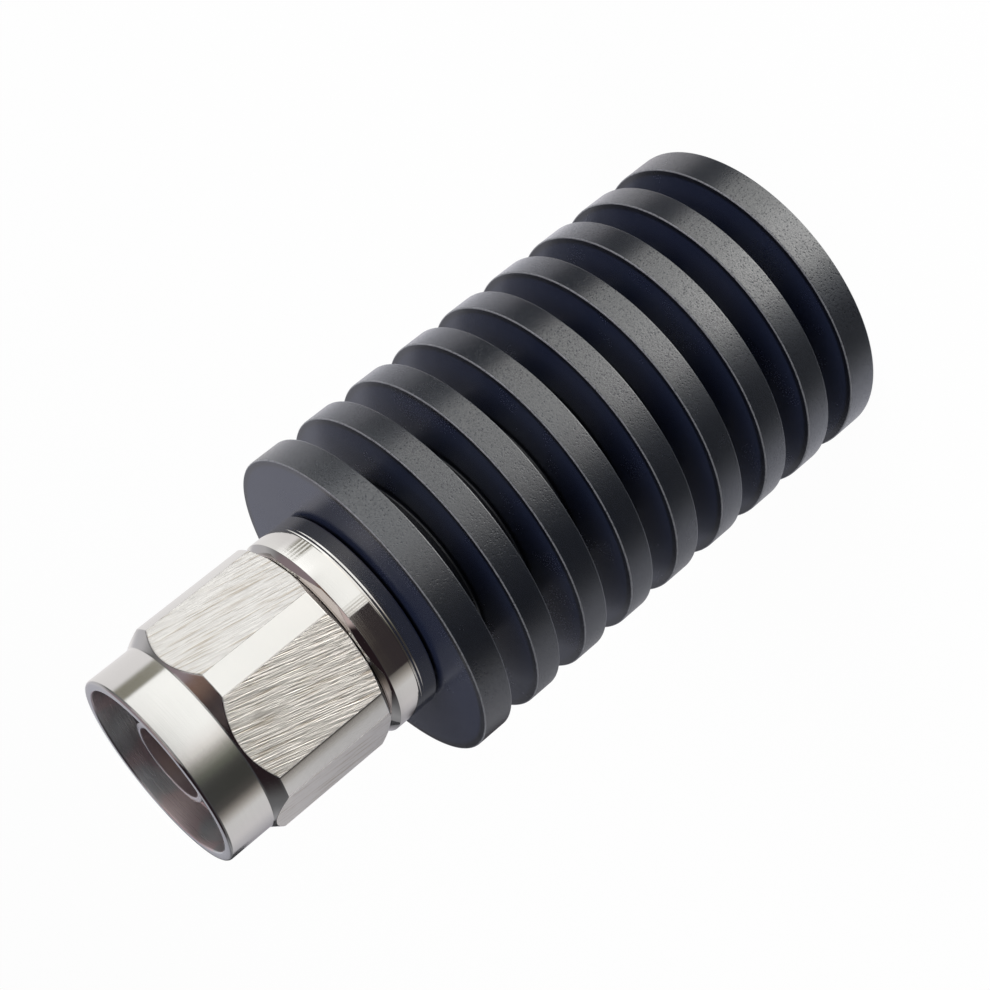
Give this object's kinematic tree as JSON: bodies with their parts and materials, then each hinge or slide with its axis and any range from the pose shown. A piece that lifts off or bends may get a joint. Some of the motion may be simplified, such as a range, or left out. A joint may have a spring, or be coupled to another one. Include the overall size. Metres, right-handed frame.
{
  "type": "coaxial terminator",
  "caption": "Coaxial termination: a plug with a hex coupling nut on a finned cylindrical heatsink that holds its load resistor.",
  "frame": {"origin": "centre of the heatsink's flat rear face, on which the part stands", "axes": "+Z along the part's axis, from the heatsink's rear face towards the plug's mouth; one corner strip of the hex nut faces about 14 degrees from +X towards +Y at rest"},
  "size_m": [0.03, 0.03, 0.0689],
  "materials": {
    "black_anodised": "black anodised over a fine bead blast",
    "body_nickel": "bright nickel plate",
    "nut_nickel": "nickel plate, polished where turned and brushed on the hex flats",
    "contact_nickel": "bright nickel plate",
    "spring_bronze": "plain spring bronze",
    "red_silicone": "matte red silicone rubber",
    "pin_gold": "gold plate",
    "white_insulator": "white fluoropolymer",
    "resistor_film": "dark resistive film on ceramic",
    "cap_silver": "silver plate",
    "sleeve_brass": "plain turned brass"
  },
  "bodies": {
    "load": {"heatsink": "black_anodised", "connector_body": "body_nickel", "retaining_ring": "spring_bronze", "interface_gasket": "red_silicone", "outer_contact": "contact_nickel", "center_pin": "pin_gold", "support_bead": "white_insulator", "inner_conductor": "pin_gold", "resistor_rod": "resistor_film", "resistor_front_cap": "cap_silver", "resistor_rear_cap": "cap_silver", "taper_sleeve": "sleeve_brass", "ground_contact": "sleeve_brass"},
    "nut": {"coupling_nut": "nut_nickel"}
  },
  "joints": [
    {"name": "nut_spin", "type": "hinge", "parent": "load", "child": "nut", "pos_m": [0, 0, 0.0533], "axis": [0, 0, 1], "continuous": true}
  ]
}
